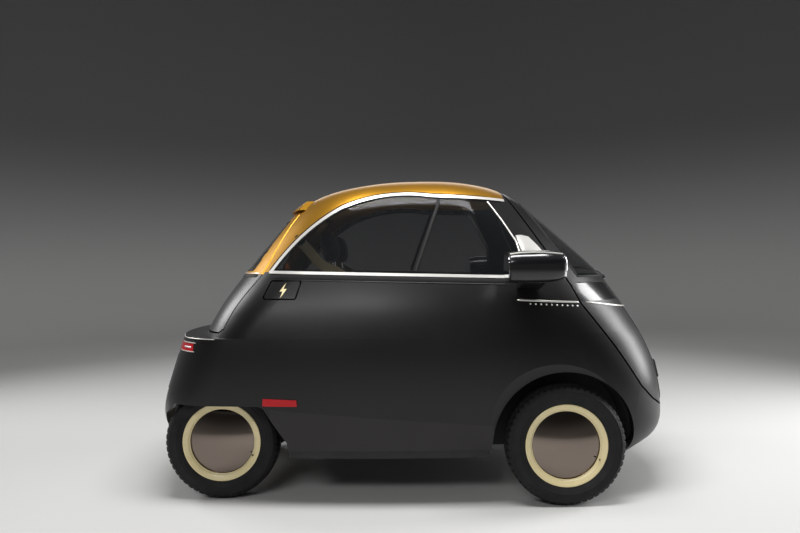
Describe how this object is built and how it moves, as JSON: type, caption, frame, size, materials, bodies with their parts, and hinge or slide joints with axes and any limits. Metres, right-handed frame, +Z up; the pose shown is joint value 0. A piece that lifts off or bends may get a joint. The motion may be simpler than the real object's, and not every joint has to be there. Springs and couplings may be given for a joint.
{
  "type": "microcar",
  "caption": "Two-seat electric bubble microcar with a front door, tailgate, steered front wheels and a narrow rear axle.",
  "frame": {"origin": "on the ground under the middle of the bounding box", "axes": "+X forward, +Y to the car's left, +Z up"},
  "size_m": [2.5187, 1.7972, 1.501],
  "materials": {
    "satin_black": "satin black paint",
    "gold": "metallic gold paint",
    "sill_grey": "satin dark grey paint",
    "glass": "tinted glass",
    "gloss_black": "gloss black",
    "chrome": "polished",
    "cream": "gloss cream paint",
    "tyre": "black rubber",
    "red_lens": "red lens",
    "clear_lens": "clear lens",
    "mirror": "mirror glass",
    "chassis": "matt black",
    "steel": "machined steel",
    "cast": "cast aluminium",
    "fabric": "woven black seat cloth"
  },
  "bodies": {
    "body": {"body_side_left": "satin_black", "body_side_right": "satin_black", "roof_panel": "gold", "sills": "sill_grey", "tail_panel": "satin_black", "front_bumper": "satin_black", "side_windows": "glass", "window_trim": "chrome", "lamp_pods": "gloss_black", "pod_lenses": "clear_lens", "pod_mirrors": "mirror", "floor_pan": "chassis", "rear_bay": "chassis", "front_wheelhouses": "chassis", "front_axle": "steel", "rear_axle": "steel", "motor": "cast", "battery": "cast", "bench_cushion": "fabric", "bench_back": "fabric", "seat_frame": "chassis", "steering_column": "chassis", "tail_lamps": "red_lens", "side_reflectors": "red_lens", "charge_socket": "chassis", "head_restraints": "fabric"},
    "front_door": {"door_panel": "satin_black", "windscreen": "glass", "light_bar": "gloss_black", "dash_bar": "gloss_black"},
    "tailgate": {"tailgate_panel": "satin_black", "rear_window": "glass"},
    "charge_flap": {"charge_flap": "satin_black"},
    "steering_wheel": {"steering_wheel": "gloss_black"},
    "knuckle_left": {"knuckle_left": "steel"},
    "knuckle_right": {"knuckle_right": "steel"},
    "wheel_front_left": {"tyre_front_left": "tyre", "rim_front_left": "cream", "disc_front_left": "chrome"},
    "wheel_front_right": {"tyre_front_right": "tyre", "rim_front_right": "cream", "disc_front_right": "chrome"},
    "wheel_rear_left": {"tyre_rear_left": "tyre", "rim_rear_left": "cream", "disc_rear_left": "chrome"},
    "wheel_rear_right": {"tyre_rear_right": "tyre", "rim_rear_right": "cream", "disc_rear_right": "chrome"}
  },
  "joints": [
    {"name": "steer_left", "type": "hinge", "parent": "body", "child": "knuckle_left", "pos_m": [0.67, 0.58, 0.2665], "axis": [0, 0, 1], "range_deg": [-28, 28]},
    {"name": "steer_right", "type": "hinge", "parent": "body", "child": "knuckle_right", "pos_m": [0.67, -0.58, 0.2665], "axis": [0, 0, 1], "range_deg": [-28, 28]},
    {"name": "steering_wheel_turn", "type": "hinge", "parent": "body", "child": "steering_wheel", "pos_m": [0.28, 0.28, 0.83], "axis": [-0.5677, 0, 0.8232], "range_deg": [-392, 392]},
    {"name": "front_door_swing", "type": "hinge", "parent": "body", "child": "front_door", "pos_m": [0.8, 0.645, 0.85], "axis": [0, 0, 1], "range_deg": [0, 80]},
    {"name": "tailgate_lift", "type": "hinge", "parent": "body", "child": "tailgate", "pos_m": [-0.604, 0, 1.348], "axis": [0, 1, 0], "range_deg": [0, 70]},
    {"name": "charge_flap_open", "type": "hinge", "parent": "body", "child": "charge_flap", "pos_m": [-0.494, -0.642, 0.97], "axis": [0, 0, 1], "range_deg": [0, 95]},
    {"name": "wheel_front_left_spin", "type": "hinge", "parent": "knuckle_left", "child": "wheel_front_left", "pos_m": [0.67, 0.6275, 0.2665], "axis": [0, 1, 0], "continuous": true},
    {"name": "wheel_front_right_spin", "type": "hinge", "parent": "knuckle_right", "child": "wheel_front_right", "pos_m": [0.67, -0.6275, 0.2665], "axis": [0, 1, 0], "continuous": true},
    {"name": "wheel_rear_left_spin", "type": "hinge", "parent": "body", "child": "wheel_rear_left", "pos_m": [-0.898, 0.4375, 0.2665], "axis": [0, 1, 0], "continuous": true},
    {"name": "wheel_rear_right_spin", "type": "hinge", "parent": "body", "child": "wheel_rear_right", "pos_m": [-0.898, -0.4375, 0.2665], "axis": [0, 1, 0], "continuous": true}
  ],
  "couplings": [
    {"joint": "steer_right", "follows": "steer_left", "ratio": 1},
    {"joint": "steering_wheel_turn", "follows": "steer_left", "ratio": 14}
  ]
}
